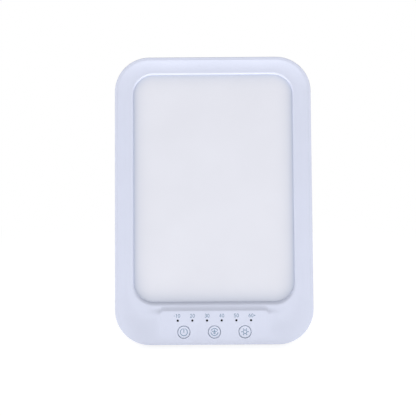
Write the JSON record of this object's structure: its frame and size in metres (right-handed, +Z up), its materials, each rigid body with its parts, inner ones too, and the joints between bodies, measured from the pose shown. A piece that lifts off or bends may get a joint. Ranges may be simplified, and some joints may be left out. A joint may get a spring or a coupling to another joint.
{
  "type": "light therapy lamp",
  "caption": "Tablet-shaped light therapy lamp leaning back on a folding rear stand, with a large rounded light window, timer lamps and round push keys below it.",
  "frame": {"origin": "on the table, at the centre of the footprint box of the opened lamp", "axes": "+X to the right as seen from the front, +Y towards the back, +Z up; the panel leans back 15 degrees"},
  "size_m": [0.164, 0.0814, 0.236],
  "materials": {
    "bezel_plastic": "fine satin, cool white ABS",
    "shell_plastic": "fine spark-eroded texture, cool white ABS",
    "key_plastic": "satin, cool white ABS with grey printed rings and icons",
    "stand_plastic": "fine texture, cool white ABS",
    "opal_acrylic": "milky white, satin face",
    "foam_tape": "closed-cell foam strip",
    "clear_acrylic": "polished, edge-lit light guide",
    "white_film": "white reflector film",
    "tray_aluminium": "bare rolled sheet",
    "white_laminate": "white circuit laminate",
    "green_laminate": "green circuit laminate",
    "led_package": "yellow phosphor in a white package",
    "lead_sheath": "soft white sheath",
    "switch_plastic": "black moulding",
    "chip_resin": "black moulding resin",
    "ferrite": "pressed ferrite",
    "can_aluminium": "bright can",
    "socket_steel": "nickel-plated drawn steel",
    "smoked_lens": "dark smoked lens, unlit",
    "screw_steel": "zinc-plated",
    "pin_steel": "ground steel",
    "bracket_nylon": "glass-filled nylon",
    "washer_nylon": "natural nylon",
    "foot_rubber": "soft grey silicone rubber"
  },
  "bodies": {
    "housing": {"front_bezel": "bezel_plastic", "rear_shell": "shell_plastic", "diffuser_panel": "opal_acrylic", "diffuser_gasket": "foam_tape", "light_guide": "clear_acrylic", "reflector_sheet": "white_film", "backing_plate": "tray_aluminium", "left_led_strip": "white_laminate", "right_led_strip": "white_laminate", "left_strip_leds": "led_package", "right_strip_leds": "led_package", "left_strip_lead": "lead_sheath", "right_strip_lead": "lead_sheath", "control_board": "green_laminate", "tact_switches": "switch_plastic", "control_chip": "chip_resin", "driver_inductor": "ferrite", "filter_capacitors": "can_aluminium", "power_socket_shell": "socket_steel", "power_socket_tongue": "chip_resin", "indicator_leds": "led_package", "indicator_light_pipe": "smoked_lens", "housing_screws": "screw_steel", "board_screws": "screw_steel", "plate_screws": "screw_steel", "bracket_screws": "screw_steel", "left_base_foot": "foot_rubber", "right_base_foot": "foot_rubber", "left_hinge_bracket": "bracket_nylon", "right_hinge_bracket": "bracket_nylon", "hinge_pin": "pin_steel"},
    "stand": {"stand_leg": "stand_plastic", "stand_foot_pad": "foot_rubber", "left_friction_washer": "washer_nylon", "right_friction_washer": "washer_nylon"},
    "power_key": {"power_button": "key_plastic", "power_plunger": "switch_plastic"},
    "timer_key": {"timer_button": "key_plastic", "timer_plunger": "switch_plastic"},
    "brightness_key": {"brightness_button": "key_plastic", "brightness_plunger": "switch_plastic"}
  },
  "joints": [
    {"name": "stand_hinge", "type": "hinge", "parent": "housing", "child": "stand", "pos_m": [0, 0.01455, 0.13957], "axis": [1, 0, 0], "range_deg": [-24, 0]},
    {"name": "power_key_press", "type": "slide", "parent": "housing", "child": "power_key", "axis": [0, 0.9659, -0.2588], "range_m": [0, 0.0005], "stiffness_N_per_m": 400, "springref_m": -0.002},
    {"name": "timer_key_press", "type": "slide", "parent": "housing", "child": "timer_key", "axis": [0, 0.9659, -0.2588], "range_m": [0, 0.0005], "stiffness_N_per_m": 400, "springref_m": -0.002},
    {"name": "brightness_key_press", "type": "slide", "parent": "housing", "child": "brightness_key", "axis": [0, 0.9659, -0.2588], "range_m": [0, 0.0005], "stiffness_N_per_m": 400, "springref_m": -0.002}
  ]
}
